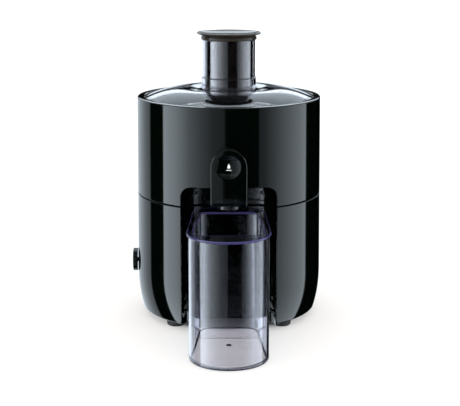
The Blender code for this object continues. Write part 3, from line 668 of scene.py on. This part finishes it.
def drip_knob():
    """The drip stop's dished knob, with a droplet over a bar printed in its dish."""
    back, front, radius, dish = 0.1335, -VALVE_LOW.y, VALVE_HIGH.x, 0.0024
    depth = front - back
    profile = [(0, depth - dish), (0.0060, depth - 0.0023), (0.0105, depth - 0.0017)]
    profile += [(0.0138, depth - 0.0006), (0.0150, depth - 0.0001), (0.0156, depth)]
    profile += [(radius, depth - 0.0009, 0.0006), (radius, 0), (0, 0)]
    disc = facing_front(lathe(profile, closed=False, steps=96, sharp=50), -back, VALVE_Z)
    piece("drip_knob_disc", disc, "drip_knob", GLOSS_BLACK, ["drip_stop_knob"])
    drop = drop_outline(0.0033, 0.0074)
    bar = rectangle(0.0033, -0.0004, 0.0004, 0.0003)
    for name, outline, rise in (("drop_mark", drop, 0.0013), ("bar_mark", bar, -0.0040)):
        mark = facing_front(stacked([(outline, 0), (outline, 0.0003)]), dish - front, VALVE_Z + rise)
        piece(name, mark, "drip_knob", WHITE_PRINT)


def drop_outline(half, height):
    """A droplet: a round foot that runs up to a point."""
    turns = [2 * pi * i / 36 for i in range(36)]
    low = -0.42 * height
    return [(half * sin(t) * sin(t / 2) ** 3, low + height * (1 + cos(t)) / 2) for t in turns]


def speed_knob():
    """The speed knob on the body's left side, with a grip bar and a pointer line."""
    low, high = local_box("speed_knob")
    radius, z, depth = (high.z - low.z) / 2, (high.z + low.z) / 2, high.x - low.x
    back, stem_r, face_r, face = depth - 0.0066, 0.003, 0.0115, depth - 0.0010
    profile = [(0, face), (face_r, face, 0.001), (0.0140, depth, 0.001), (radius, depth, 0.0012)]
    profile += [(radius, back, 0.0005), (stem_r, back), (stem_r, 0), (0, 0)]
    disc = lathe(profile, closed=False, steps=96, sharp=50)
    grip = rectangle(0.0022, -0.0125, 0.0125, 0.0021)
    grip_top = [(x * 0.85, y * 0.97) for x, y in grip]
    handle = stacked([(grip, depth - 0.0030), (grip, depth - 0.0004), (grip_top, depth)])
    line = rectangle(0.0005, 0.006, 0.0115, 0.0004)
    pointer = stacked([(line, depth - 0.0002), (line, depth + 0.00012)])
    place = Matrix.Translation((high.x, 0, z)) @ Matrix.Rotation(-pi / 2, 4, "Y")
    place = place @ Matrix.Rotation(-pi / 2, 4, "Z")
    cap = moved(joined(disc, handle), place)
    piece("speed_knob_cap", cap, "speed_knob", GLOSS_BLACK, ["speed_knob"])
    piece("speed_knob_pointer", moved(pointer, place), "speed_knob", WHITE_PRINT)


def spout_pipe():
    """The pipe that shows under the hood, on the chamber that feeds it."""
    low, high = local_box("spout_body")
    pipe_y, pipe_r, bore, pipe_top = -0.118, 0.0145, 0.0115, 0.222
    chamber_front, chamber_back, chamber_low = -0.116, -0.0765, 0.207
    profile = [(pipe_r, pipe_top), (pipe_r, low.z, 0.0007), (bore, low.z, 0.0005), (bore, pipe_top)]
    pipe = moved(lathe(profile, steps=96), Matrix.Translation((0, pipe_y, 0)))
    outline = rectangle(high.x, chamber_front, chamber_back, 0.003, 0)
    chamber = stacked([(outline, chamber_low), (outline, high.z)])
    piece("spout_pipe", joined(pipe, chamber), "housing", SPOUT_GREY, ["spout_body"])


# ---------------- basket and bowl

TOOTH_RADII = (0.014, 0.019, 0.024, 0.029, 0.034, 0.039)


def basket():
    """The basket's rim, its cone of filter sheet and the grater disc."""
    rim_r, bore, low, high = BASKET_HIGH.x, 0.065, BASKET_LOW.z, BASKET_HIGH.z
    rim = [(rim_r - 0.0012, high, 0.0010), (rim_r, high - 0.001, 0.0008), (rim_r, low + 0.001, 0.0008)]
    rim += [(rim_r - 0.001, low), (bore, low), (bore, high, 0.0010)]
    piece("basket_ring", lathe(rim), "basket", STAINLESS, ["basket_rim"])
    foot_r, top_r, top_z, sheet = 0.046, 0.066, low - 0.0003, 0.0012
    disc_z = local_box("grater_disc")[0].z
    cone = [(top_r, top_z), (foot_r + sheet, disc_z), (foot_r, disc_z), (top_r - sheet, top_z)]
    piece("filter_mesh", lathe(cone, steps=180), "basket", mesh_metal(), ["filter_cone"])
    disc_r, disc_top = foot_r - 0.0003, disc_z + sheet
    disc = [(0, disc_top), (disc_r - 0.0005, disc_top), (disc_r, disc_top - 0.0003)]
    disc += [(disc_r, disc_z), (0, disc_z)]
    shape = bmesh.new()
    for row, radius in enumerate(TOOTH_RADII):
        count = 16 + 5 * row
        for i in range(count):
            add_tooth(shape, radius, 2 * pi * (i + 0.5 * (row % 2)) / count, disc_top - 0.0001)
    grater = joined(lathe(disc, closed=False), mesh_of(shape, 20))
    piece("grater", grater, "basket", STAINLESS, ["grater_disc"])


def add_tooth(shape, radius, turn, z):
    """A small punched tooth, leaning into the spin."""
    out = Vector((sin(turn), -cos(turn), 0))
    side = Vector((cos(turn), sin(turn), 0))
    middle = out * radius + Vector((0, 0, z))
    half_width, length, height = 0.0009, 0.0024, 0.0014
    places = (middle + out * half_width, middle - out * half_width, middle + side * length)
    corners = [shape.verts.new(place) for place in places]
    tip = shape.verts.new(middle + side * 0.0002 + Vector((0, 0, height)))
    shape.faces.new(corners)
    for i in range(3):
        shape.faces.new((corners[i], corners[(i + 1) % 3], tip))


def mesh_metal():
    """Etched filter sheet: rows of fine holes round the cone, painted near black as painted shade and
    bumped in, not cut.
    """
    finish = Finish("etched_filter_steel", Metallic=1.0)
    place = finish.node("ShaderNodeTexCoord")
    split = finish.node("ShaderNodeSeparateXYZ")
    finish.link(place.outputs["Object"], split.inputs["Vector"])
    turn = finish.node("ShaderNodeMath", operation="ARCTAN2")
    finish.link(split.outputs["Y"], turn.inputs[0])
    finish.link(split.outputs["X"], turn.inputs[1])
    around = finish.node("ShaderNodeMath", operation="MULTIPLY")
    around.inputs[1].default_value = 0.056  # mean radius of the cone, so that holes are round
    finish.link(turn.outputs["Value"], around.inputs[0])
    flat = finish.node("ShaderNodeCombineXYZ")
    finish.link(around.outputs["Value"], flat.inputs["X"])
    finish.link(split.outputs["Z"], flat.inputs["Y"])
    cells = finish.node("ShaderNodeTexVoronoi", voronoi_dimensions="2D", Scale=620, Randomness=0.0)
    finish.link(flat.outputs["Vector"], cells.inputs["Vector"])
    # The holes are painted near black: painted shade for the openings.
    hole = finish.ranged(cells.outputs["Distance"], 0.0, 1.0, 0.22, 0.34)
    steel = finish.blended(hole, (0.02, 0.02, 0.02), (0.60, 0.58, 0.54))
    finish.link(steel, finish.shader.inputs["Base Color"])
    finish.shader.inputs["Roughness"].default_value = 0.28
    finish.bump(hole, 0.5, 0.0002)
    return finish.material


def juice_bowl():
    """The bowl round the basket, with the collar that keeps juice from the drive."""
    low, high = local_box("juice_bowl")
    outer, collar_r, collar_out, collar_top = high.x, 0.0245, 0.027, 0.216
    inner, floor_z = outer - 0.0025, low.z + 0.0025
    profile = [(outer, high.z, 0.0010), (outer, low.z, 0.0020), (collar_r, low.z)]
    profile += [(collar_r, collar_top, 0.0008), (collar_out, collar_top, 0.0008)]
    profile += [(collar_out, floor_z, 0.002), (inner, floor_z, 0.004), (inner, high.z, 0.0010)]
    piece("bowl", lathe(profile), "housing", BOWL_GREY, ["juice_bowl"])


# ---------------- lid, chute and pusher

CHUTE_R, COLLAR_R = 0.0359, 0.0373
CROWN_R, CROWN_Z, CROWN_DIP = 0.062, 0.3158, 0.0030
DOME_EDGE_R, DOME_EDGE_Z, DOME_POWER = 0.1125, 0.3040, 1.9


def dome(r):
    """Height of the lid's outside at a radius: a dip towards the chute, and a fall to the edge."""
    if r < CROWN_R:
        return CROWN_Z - CROWN_DIP * ((CROWN_R - r) / (CROWN_R - COLLAR_R)) ** 2
    fall = ((r - CROWN_R) / (DOME_EDGE_R - CROWN_R)) ** DOME_POWER
    return CROWN_Z - (CROWN_Z - DOME_EDGE_Z) * fall


def lid_shell():
    """The clear lid and its feed chute, one moulding."""
    low, high, wall = LID_LOW.z, LID_HIGH.z, 0.0022
    bore, edge_r, seat_r, seat_z = CHUTE_R - wall, 0.114, 0.1088, 0.3013
    crown = [COLLAR_R + (DOME_EDGE_R - COLLAR_R) * i / 22 for i in range(23)]
    outer = [(CHUTE_R, high, 0.0009), (CHUTE_R, 0.3305, 0.0006), (COLLAR_R, 0.3298, 0.0006)]
    outer += [(COLLAR_R, dome(COLLAR_R) + 0.0010)] + [(r, dome(r)) for r in crown[1:]]
    edge = [(edge_r, 0.3036, 0.0006), (edge_r, seat_z, 0.0004), (seat_r, seat_z, 0.0003)]
    inner = [(r - 0.0008, dome(r) - wall) for r in reversed(crown[2:-1])]
    chute = [(CHUTE_R, 0.3100, 0.001), (CHUTE_R, low, 0.0008), (bore, low, 0.0008), (bore, high, 0.0008)]
    mesh = lathe(outer + edge + inner + chute, sharp=45)
    piece("clear_lid", mesh, "lid", LID_CLEAR, ["lid"])


def pusher():
    """The pusher's hollow cup, and the dished cap that closes it."""
    low, high = local_box("pusher_body")
    outer, inner, floor_z = high.x, high.x - 0.002, low.z + 0.0025
    cup = [(0, floor_z), (inner, floor_z, 0.002), (inner, high.z, 0.0005)]
    cup += [(outer, high.z, 0.0005), (outer, low.z, 0.002), (0, low.z)]
    piece("pusher_cup", lathe(cup, closed=False), "pusher", WARM_GREY, ["pusher_body"])
    top, bottom, rim_r, neck_r, plug_r = CAP_HIGH.z, CAP_LOW.z, CAP_HIGH.x, 0.0377, 0.0303
    dish = [(0, top - 0.0030), (0.012, top - 0.0029), (0.024, top - 0.0025), (0.034, top - 0.0016)]
    rim = [(0.0405, top - 0.0004), (0.0424, top), (rim_r, top - 0.0010, 0.0005)]
    rim += [(rim_r - 0.0006, top - 0.0022, 0.0006)]
    neck = [(0.0366, top - 0.0046, 0.001), (0.0357, top - 0.0052, 0.0004), (neck_r, top - 0.0060, 0.0005)]
    plug = [(neck_r, top - 0.0097, 0.0005), (plug_r, top - 0.0097), (plug_r, bottom, 0.0008), (0, bottom)]
    mesh = lathe(dish + rim + neck + plug, closed=False, sharp=50)
    piece("pusher_lid", mesh, "pusher", CAP_GREY, ["pusher_cap"])


# ---------------- jug

JUG_FRONT_Y = -0.207  # centre of the round front of the jug and its lid
FRONT_ROUND = 0.93  # rounding of the front corners, as a share of the half width


def tapered_plan(front_r, back_half, back_y, back_r, inset=0.0):
    """A plan with a round front and sides that close in towards the back, as in the jug's CAD."""
    front_r, back_half, back_y, back_r = (v - inset for v in (front_r, back_half, back_y, back_r))
    taper = (front_r - back_half) / (back_y - JUG_FRONT_Y)
    corner_x, corner_y = front_r * (1 + taper), JUG_FRONT_Y - front_r
    round_r = FRONT_ROUND * corner_x
    corners = [(-corner_x, corner_y, round_r), (corner_x, corner_y, round_r)]
    corners += [(back_half, back_y, back_r), (-back_half, back_y, back_r)]
    return filleted(corners, closed=True, steps=22)


def jug_plan(inset):
    return tapered_plan(0.0505, 0.0435, -0.092, 0.022, inset)


def jug_body():
    """The jug's thin shell, and the small moulding mark in its floor."""
    top, wall, foot_r, floor_z, floor_r = JUG_TOP_Z, 0.0025, 0.0024, 0.003, 0.003
    lip = ((0.15, 0.8), (0.35, 1), (0.65, 1), (0.85, 0.8))  # share across the wall, and of its height
    side_top = top - 0.0008
    rows = [(jug_plan(foot_r * (1 - sine)), foot_r * (1 - cosine)) for sine, cosine in quarter(6)]
    rows += [(jug_plan(0), z) for z in heights(0.006, side_top, 0.02)]
    rows += [(jug_plan(wall * across), top + 0.0006 * (up - 1)) for across, up in lip]
    rows += [(jug_plan(wall), z) for z in reversed(heights(floor_z + 0.004, side_top, 0.02))]
    for sine, cosine in quarter(6):
        rows.append((jug_plan(wall + floor_r * (1 - cosine)), floor_z + floor_r * (1 - sine)))
    # The rounded foot edge is opaque navy, a painted shade instead of clear plastic.
    foot_edge = (NAVY_PAINTED_FOOT_SHADE, is_foot_round)
    piece("jug_shell", stacked(rows, 40), "jug", CLEAR, ["jug"], foot_edge)
    # The moulding mark is painted dark: painted shade in place of the clear nub's refraction.
    profile = [(0, 0.0007), (0.0034, 0.0007, 0.0003), (0.0040, 0.0001), (0, 0.0001)]
    mark = moved(lathe(profile, False, 40), Matrix.Translation((0, -0.167, floor_z)))
    piece("jug_gate_mark", mark, "jug", GATE_PAINTED_SHADE)


def polar(outline, centre, count):
    """An outline as one point for each of an even set of directions from a centre."""
    points = []
    for k in range(count):
        turn = 2 * pi * k / count
        ray = Vector((sin(turn), -cos(turn)))
        for i, corner in enumerate(outline):
            a = Vector(corner) - centre
            side = Vector(outline[(i + 1) % len(outline)]) - centre - a
            across = ray.cross(side)
            if abs(across) < 1e-12:
                continue
            reach, share = a.cross(side) / across, a.cross(ray) / across
            if reach > 0 and -1e-9 <= share <= 1 + 1e-9:
                points.append(centre + ray * reach)
                break
    return points


def is_upright(face):
    """The cut edges of the jug's lid."""
    return abs(face.normal.z) < 0.97


def is_foot_round(face):
    """The jug's outer bottom edge."""
    return face.center.z < 0.0029 and -0.97 < face.normal.z < 0.5


def jug_cover():
    """The jug's lid: a flat clear rim round the mouth, and the foam separator that hangs from it."""
    low, high, edge, fine_edge = JUG_LID_LOW.z, JUG_LID_HIGH.z, 0.0010, 0.0003
    centre, count = Vector((0, -0.170)), 240
    mouth_side = ((0.0438, -0.225, 0.004), (0.0436, -0.182, 0.02), (0.0355, -0.099, 0.006))

    def ring(outline, z):
        return [Vector((*p, z)) for p in polar(outline, centre, count)]

    def rim(inset, z):
        return ring(tapered_plan(0.0523, 0.047, -0.070, 0.035, inset), z)

    def mouth(grow, z):
        corners = [(x + grow, y + (grow if y > centre.y else -grow), r) for x, y, r in mouth_side]
        corners += [(-x, y, r) for x, y, r in reversed(corners)]
        return ring(filleted(corners, closed=True, steps=8), z)

    rings = [rim(0, low + edge), rim(0, high - edge), rim(fine_edge, high - fine_edge), rim(edge, high)]
    rings += [mouth(edge, high), mouth(fine_edge, high - fine_edge), mouth(0, high - edge)]
    rings += [mouth(0, low + edge), mouth(edge, low), rim(edge, low)]
    shape = bmesh.new()
    add_rings(shape, rings, closed=True)
    # The cut edges are opaque violet, a painted edge light instead of clear plastic.
    cut_edge = (VIOLET_PAINTED_EDGE_LIGHT, is_upright)
    piece("jug_rim", mesh_of(shape, 40), "jug_lid", CLEAR, ["jug_lid"], cut_edge)
    plate_low, plate_high = local_box("foam_separator")
    middle, chamfer = (plate_low.y + plate_high.y) / 2, 0.0006
    outline = rectangle(plate_high.x, plate_low.y, plate_high.y, chamfer)
    foot = [(x * 0.99, middle + (y - middle) * 0.6) for x, y in outline]
    plate = stacked([(foot, plate_low.z), (outline, plate_low.z + chamfer), (outline, plate_high.z)])
    piece("foam_plate", plate, "jug_lid", CLEAR, ["foam_separator"])


# ---------------- feet and carried-over nodes


def feet():
    """Four rubber feet, a little hollow underneath."""
    top, hollow = BOTTOM_Z - 0.0003, 0.0006
    for corner in ("front_left", "front_right", "rear_left", "rear_right"):
        low, high = local_box(f"foot_{corner}")
        radius = (high.x - low.x) / 2
        profile = [(0, top), (radius - 0.0006, top, 0.0004), (radius, 0.0052)]
        profile += [(radius - 0.0006, 0.0012, 0.0010), (radius - 0.0020, 0, 0.0004), (radius - 0.0045, 0)]
        profile += [(radius - 0.0050, hollow), (0, hollow)]
        place = Matrix.Translation(((low.x + high.x) / 2, (low.y + high.y) / 2, 0))
        mesh = moved(lathe(profile, closed=False, steps=64), place)
        piece(f"rubber_foot_{corner}", mesh, "base", RUBBER, [f"foot_{corner}"])


def finish_carried_nodes():
    """Gives a finish to each CAD node that is shown as it is."""
    screws = tuple(f"base_screw_{i}" for i in range(1, 5))
    mounts = tuple(f"motor_mount_{i}" for i in range(1, 5))
    steel = ("motor_lower_bracket", "motor_upper_bracket", "lower_bearing", "upper_bearing", "motor_shaft")
    finishes = {
        SATIN_BLACK: ("base_plate", "cooling_fan", "drive_coupling", "basket_hub", "drip_stop_gate"),
        STEEL: steel + screws,
        LAMINATION: ("stator_core", "armature_core"),
        COPPER: ("field_coil_left", "field_coil_right", "commutator"),
        WHITE_PLASTIC: ("brush_holder_left", "brush_holder_right", "switch_module", "interlock_switch"),
        RUBBER: ("shaft_seal", "cord_gland", "bowl_seal", "valve_seal", "lid_seal") + mounts,
    }
    for finish, names in finishes.items():
        for name in names:
            materials = frame["nodes"][name].data.materials
            materials.clear()
            materials.append(finish)


# ---------------- studio and camera

CAMERA_BACK, CAMERA_HIGH, CAMERA_LENS = 1.702, 0.534, 97.8
CAMERA_PITCH, CAMERA_TURN = radians(12.6), radians(-0.055)


def camera():
    """Straight in front of the juicer and a little above it."""
    data = bpy.data.cameras.new("camera")
    data.lens = CAMERA_LENS
    data.sensor_width = 36
    obj = bpy.data.objects.new("camera", data)
    bpy.context.scene.collection.objects.link(obj)
    obj.location = AXIS + Vector((0, -CAMERA_BACK, CAMERA_HIGH))
    obj.rotation_euler = (pi / 2 - CAMERA_PITCH, 0, CAMERA_TURN)
    bpy.context.scene.camera = obj


# The floor's glow, and a painted shadow under the juicer: no glow inside the first radius, full glow
# outside the second.
FLOOR_GLOW, PAINTED_SHADOW_R, PAINTED_SHADOW_FADE_R = 0.38, 0.092, 0.106


def floor():
    """A white worktop lit from within, with a painted shadow under the juicer where its glow is masked
    off, that shows in no reflection.
    """
    place = (AXIS.x, AXIS.y, 0)
    bpy.ops.mesh.primitive_circle_add(vertices=96, radius=9, fill_type="NGON", location=place)
    obj = bpy.context.object
    obj.name = "studio_floor"
    finish = Finish("white_floor", Specular_IOR_Level=0.0)
    finish.shader.inputs["Emission Color"].default_value = (1.0, 0.99, 0.98, 1)
    finish.vary(6, (0.5, 0.6), ((0.50, 0.50, 0.50), (0.52, 0.52, 0.52)))
    # The glow is masked off under the juicer, as a painted shadow.
    reach = finish.node("ShaderNodeVectorMath", operation="LENGTH")
    finish.link(finish.coordinates(), reach.inputs["Vector"])
    glow_with_painted_shadow = finish.ranged(reach.outputs["Value"], 0.0, FLOOR_GLOW, PAINTED_SHADOW_R, PAINTED_SHADOW_FADE_R)
    finish.link(glow_with_painted_shadow, finish.shader.inputs["Emission Strength"])
    path = finish.node("ShaderNodeLightPath")
    reflected = finish.node("ShaderNodeMath", operation="MINIMUM")
    reflected.inputs[1].default_value = 1
    finish.link(path.outputs["Glossy Depth"], reflected.inputs[0])
    clear = finish.node("ShaderNodeBsdfTransparent")
    mixed = finish.node("ShaderNodeMixShader")
    finish.link(reflected.outputs["Value"], mixed.inputs["Fac"])
    finish.link(finish.shader.outputs["BSDF"], mixed.inputs[1])
    finish.link(clear.outputs["BSDF"], mixed.inputs[2])
    finish.link(mixed.outputs["Shader"], finish.tree.nodes["Material Output"].inputs["Surface"])
    obj.data.materials.append(finish.material)


# Light that glossy surfaces see, as (angle in degrees, strength) stops. The azimuth is from the front,
# to the right; the elevation is up from the horizon. Each pair of azimuth and rise is multiplied.
PANELS = (
    (-180, 0.0), (-90, 0.0), (-88.5, 4.3), (-71, 3.6), (-64, 3.0), (-51, 1.72), (-35, 0.92), (-20, 0.42),
    (-5, 0.28), (-4, 0.0), (37, 0.0), (38.5, 0.30), (45, 0.35), (59, 0.87), (74, 1.55), (91, 2.04),
    (111, 2.3), (113, 0.0), (180, 0.0),
)
PANELS_RISE = ((-90, 0.0), (-60, 0.0), (-45, 1.0), (20, 1.0), (28, 0.0), (90, 0.0))
BACKDROP = (
    (-180, 1.0), (-138, 1.1), (-126, 0.85), (-117, 0.75), (-115, 0.0), (168, 0.0), (172, 1.0), (180, 1.0),
)
BACKDROP_RISE = ((-90, 1.0), (2.8, 1.0), (5.6, 0.0), (90, 0.0))
CEILING = ((-180, 1.0), (-125, 1.0), (-105, 0.15), (105, 0.15), (125, 1.0), (180, 1.0))
CEILING_RISE = (
    (-90, 0.0), (9.5, 0.0), (11, 2.0), (16, 2.0), (19, 0.9), (44, 0.9), (54, 2.4), (75, 1.2), (90, 0.8),
)
SEEN_THROUGH = ((-90, 0.80), (4, 0.80), (8, 0.0), (90, 0.0))  # by elevation, through clear plastic
PEAK = 5.0  # above every strength, because a colour ramp holds values up to 1
FILL = 1.7  # even light for matt surfaces
WHITE_BEHIND = 1.3  # what the camera sees past the juicer
DIRECT_TINT, REFLECTED_TINT = (1.0, 0.985, 0.965), (0.88, 1.0, 1.09)


def world():
    """White to the camera, even light for matt surfaces, and a studio of panels for glossy ones."""
    scene = bpy.context.scene
    scene.view_settings.view_transform = "Standard"
    made = bpy.data.worlds.new("studio")
    made.use_nodes = True
    scene.world = made
    nodes, link = made.node_tree.nodes, made.node_tree.links.new

    def calc(operation, first, second=None):
        node = nodes.new("ShaderNodeMath")
        node.operation = operation
        for socket, value in zip(node.inputs, (first, second)):
            if isinstance(value, (int, float)):
                socket.default_value = value
            elif value is not None:
                link(value, socket)
        return node.outputs[0]

    def ramp(value, stops):
        """A value that follows stops of (place, strength)."""
        node = nodes.new("ShaderNodeValToRGB")
        colours = node.color_ramp.elements
        while len(colours) > 1:
            colours.remove(colours[-1])
        low, high = stops[0][0], stops[-1][0]
        for i, (place, strength) in enumerate(stops):
            share = (place - low) / (high - low)
            element = colours[0] if i == 0 else colours.new(share)
            element.position = share
            element.color = (*[strength / PEAK] * 3, 1)
        link(calc("DIVIDE", calc("SUBTRACT", value, low), high - low), node.inputs["Fac"])
        return calc("MULTIPLY", node.outputs["Color"], PEAK)

    def chosen(share, first, second):
        """The first value where the share is 1, and the second where it is 0."""
        rest = calc("SUBTRACT", 1, share)
        return calc("ADD", calc("MULTIPLY", share, first), calc("MULTIPLY", rest, second))

    place = nodes.new("ShaderNodeTexCoord")
    split = nodes.new("ShaderNodeSeparateXYZ")
    link(place.outputs["Generated"], split.inputs["Vector"])
    x, y, z = split.outputs
    azimuth = calc("MULTIPLY", calc("ARCTAN2", x, calc("MULTIPLY", y, -1)), 180 / pi)
    elevation = calc("MULTIPLY", calc("ARCSINE", z), 180 / pi)
    panels = calc("MULTIPLY", ramp(azimuth, PANELS), ramp(elevation, PANELS_RISE))
    backdrop = calc("MULTIPLY", ramp(azimuth, BACKDROP), ramp(elevation, BACKDROP_RISE))
    ceiling = calc("MULTIPLY", ramp(azimuth, CEILING), ramp(elevation, CEILING_RISE))
    studio = calc("ADD", calc("ADD", panels, backdrop), ceiling)
    through = calc("MAXIMUM", studio, ramp(elevation, SEEN_THROUGH))
    path = nodes.new("ShaderNodeLightPath")
    reflected = calc("MINIMUM", path.outputs["Glossy Depth"], 1)
    scattered = calc("MINIMUM", path.outputs["Diffuse Depth"], 1)
    strength = chosen(scattered, FILL, chosen(reflected, studio, through))
    strength = chosen(path.outputs["Is Camera Ray"], WHITE_BEHIND, strength)
    link(strength, nodes["Background"].inputs["Strength"])
    tint = nodes.new("ShaderNodeMixRGB")
    tint.inputs["Color1"].default_value = (*DIRECT_TINT, 1)
    tint.inputs["Color2"].default_value = (*REFLECTED_TINT, 1)
    link(reflected, tint.inputs["Fac"])
    link(tint.outputs["Color"], nodes["Background"].inputs["Color"])


# ---------------- the scene

base_casing()
housing_casing()
spout_hood()
drip_knob()
speed_knob()
spout_pipe()
basket()
juice_bowl()
lid_shell()
pusher()
jug_body()
jug_cover()
feet()
finish_carried_nodes()
floor()
world()
camera()
